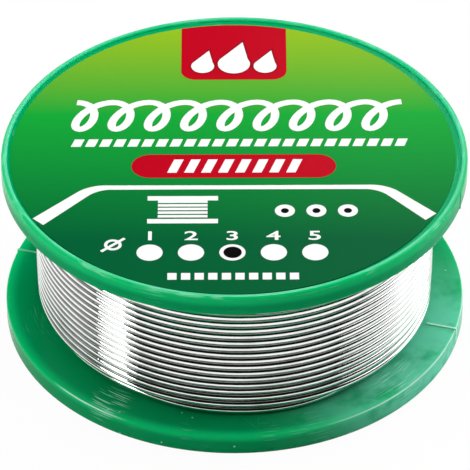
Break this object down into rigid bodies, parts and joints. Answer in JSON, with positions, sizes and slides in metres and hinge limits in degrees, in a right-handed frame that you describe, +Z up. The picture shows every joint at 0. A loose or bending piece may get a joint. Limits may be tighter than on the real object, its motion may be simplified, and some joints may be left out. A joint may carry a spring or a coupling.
{
  "type": "solder wire reel",
  "caption": "Small flanged plastic reel, closely wound with flux-cored solder wire, with a round paper label on its upper flange.",
  "frame": {"origin": "centre of the lower rim's plane, on the spindle axis", "axes": "+Z up along the spindle axis, from the open side of the drum to the labelled flange; -Y towards the side that faces the viewer"},
  "size_m": [0.05, 0.05, 0.0212],
  "materials": {
    "reel_plastic": "glossy moulded polystyrene, slightly translucent green",
    "solder": "bright drawn tin alloy wire",
    "flux": "amber rosin flux",
    "label_paper": "printed gloss-coated adhesive paper"
  },
  "bodies": {
    "root": {"reel": "reel_plastic", "solder_wire": "solder", "flux_core": "flux", "label": "label_paper"}
  },
  "joints": []
}
